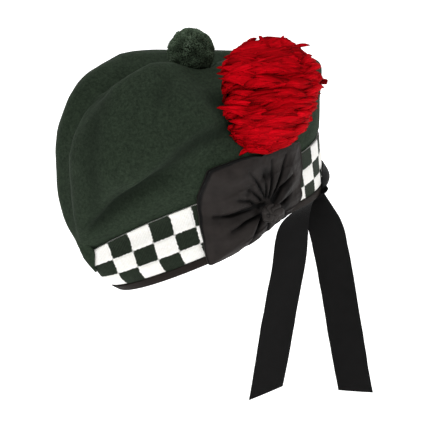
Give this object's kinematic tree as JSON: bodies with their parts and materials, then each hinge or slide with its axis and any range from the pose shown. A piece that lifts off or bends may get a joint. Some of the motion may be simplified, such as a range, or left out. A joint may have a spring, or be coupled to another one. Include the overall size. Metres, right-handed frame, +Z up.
{
  "type": "glengarry",
  "caption": "Folded felt cap with a lengthwise crease, diced band, bound edge, pleated side cockade, feather hackle, pompom on top and two ribbon tails hanging at the rear.",
  "frame": {"origin": "centre of the head opening, in the plane of the cap's rim; the hat is held as a head holds it, tipped 22.5 degrees front down, so the ribbons hang straight down", "axes": "+Z up, -X towards the hat's front, -Y towards the wearer's left, where the cockade is"},
  "size_m": [0.3221, 0.1945, 0.3775],
  "materials": {
    "green_wool": "felted wool, bottle green",
    "dark_green_dicing": "knitted wool, very dark green",
    "white_dicing": "knitted wool, off-white",
    "binding_tape": "ribbed silk tape, brownish black",
    "black_ribbon": "ribbed silk ribbon, soft sheen",
    "red_feather": "dyed feather, matt"
  },
  "bodies": {
    "root": {"crown": "green_wool", "diced_band": "dark_green_dicing", "white_dice": "white_dicing", "edge_binding": "binding_tape", "cockade": "black_ribbon", "cockade_knot": "black_ribbon", "hackle": "red_feather", "toorie": "green_wool", "tail_left": "black_ribbon", "tail_right": "black_ribbon"}
  },
  "joints": []
}
